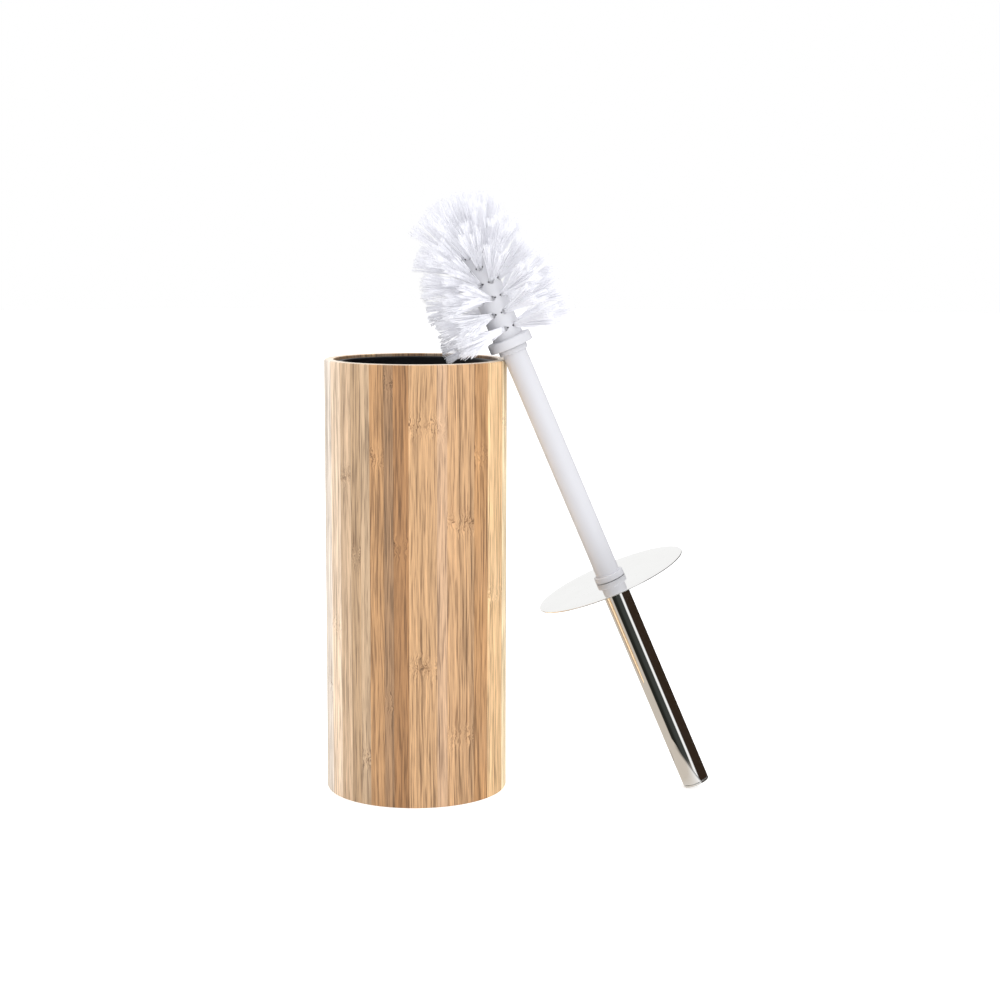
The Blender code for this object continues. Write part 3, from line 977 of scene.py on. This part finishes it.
def make_world():
    """White to the camera. Soft light, stronger from the right, falls on the set, and mirrors see
    the studio's dark side and a tall white panel."""
    world = bpy.data.worlds.new("studio")
    bpy.context.scene.world = world
    world.use_nodes = True
    g = Graph(world.node_tree)
    path = g.node("ShaderNodeLightPath").outputs
    direction = g.node("ShaderNodeTexCoord").outputs["Generated"]
    x, y, z = g.split(direction)
    key = g.node("ShaderNodeVectorMath", {0: direction, 1: (0.62, -0.3, 0.72)}, operation="DOT_PRODUCT")
    soft = g.between(key.outputs["Value"], -0.9, 1.0, 0.72, 1.5)
    azimuth = g.math("ARCTAN2", x, g.math("MULTIPLY", y, -1.0))
    turn = g.between(azimuth, -math.pi, math.pi)

    def panorama(stops):
        ramp = g.node("ShaderNodeValToRGB", {0: turn})
        elements = ramp.color_ramp.elements
        while len(elements) > 1:
            elements.remove(elements[-1])
        for k, (degrees, colour) in enumerate(stops):
            spot = (degrees + 180.0) / 360.0
            element = elements[0] if k == 0 else elements.new(spot)
            element.position = spot
            element.color = linear(colour)
        return ramp.outputs[0]

    pale = (206, 196, 184)
    white = (252, 252, 252)
    grey = (176, 178, 178)
    slate = (38, 39, 35)
    ash = (62, 64, 61)
    brown = (50, 38, 29)
    panel = [(27, white), (41, white), (45, brown)]
    dark_front = [(-50, pale), (-43, slate), (-20, slate), (-5, ash), (23, ash)]
    dark = panorama([(-180, pale), *dark_front, *panel, (180, brown)])
    light = panorama([(-180, pale), (23, pale), *panel, (180, brown)])
    # The dark front is a slanting band, just where the leaning handle mirrors it. Any wider, it would
    # darken the lid too.
    band = g.math("SUBTRACT", g.math("MULTIPLY", g.math("SINE", azimuth), 0.4), 0.26)
    off = g.math("ABSOLUTE", g.math("SUBTRACT", z, band))
    low = g.mix(g.between(off, 0.13, 0.2), dark, light)
    grey_front = [(-60, white), (-30, grey), (23, grey)]
    high = panorama([(-180, white), *grey_front, *panel, (164, brown), (172, white), (180, white)])
    mirror = g.mix(g.between(z, -0.03, 0.05), low, high)
    mirror = g.mix(g.between(z, 0.55, 0.75), mirror, (0.95, 0.95, 0.95, 1.0))
    seen = g.mix(path["Is Glossy Ray"], g.scale((0.98, 0.985, 1.0, 1.0), soft), mirror)
    seen = g.mix(path["Is Camera Ray"], seen, (1.0, 1.0, 1.0, 1.0))
    background = g.node("ShaderNodeBackground", {"Color": seen})
    output = g.node("ShaderNodeOutputWorld")
    g.tree.links.new(background.outputs[0], output.inputs["Surface"])


def make_lights():
    lamp = bpy.data.lights.new("key_softbox", "AREA")
    lamp.shape = "RECTANGLE"
    lamp.size = 0.9
    lamp.size_y = 1.1
    lamp.energy = 5.0
    key = bpy.data.objects.new("key_softbox", lamp)
    bpy.context.scene.collection.objects.link(key)
    key.location = (0.95, -0.95, 1.25)
    key.rotation_mode = "QUATERNION"
    key.rotation_quaternion = (Vector((0.05, 0, 0.15)) - key.location).to_track_quat("-Z", "Y")
    key.visible_glossy = False


def make_camera():
    """Level with the top of the bristles, looking down a little."""
    data = bpy.data.cameras.new("camera")
    data.sensor_width = 36.0
    data.lens = 71.45
    data.clip_start = 0.01
    camera = bpy.data.objects.new("camera", data)
    bpy.context.scene.collection.objects.link(camera)
    pitch = math.radians(8.027)
    roll = math.radians(0.171)
    aim = Matrix.Rotation(math.pi / 2 - pitch, 3, "X") @ Matrix.Rotation(roll, 3, "Z")
    camera.matrix_world = Matrix.LocRotScale(Vector((0.0464, -1.0876, 0.3147)), aim, None)
    bpy.context.scene.camera = camera


def main():
    bpy.context.scene.view_settings.view_transform = "Standard"
    bamboo = make_bamboo()
    end_grain = make_bamboo_end()
    board = make_board()
    black = make_moulded(
        "black_liner_plastic", (6, 6, 9), 0.4, 0.03 * MM, 0.1, Specular_IOR_Level=0.22
    )
    steel = make_steel()
    white = make_moulded("white_moulded_plastic", (200, 200, 204), 0.34, 0.02 * MM, 0.012)
    insert = make_moulded("insert_moulded_plastic", (214, 213, 210), 0.45, 0.03 * MM)
    nylon = make_nylon()
    staple = make_staple_metal()
    make_holder(bamboo, end_grain, board, black)
    make_handle(steel, insert)
    make_lid(steel)
    make_rod(white)
    make_core(white, staple)
    make_tufts(nylon)
    make_floor()
    make_foot_card()
    make_world()
    make_lights()
    make_camera()


main()
bpy.context.view_layer.update()
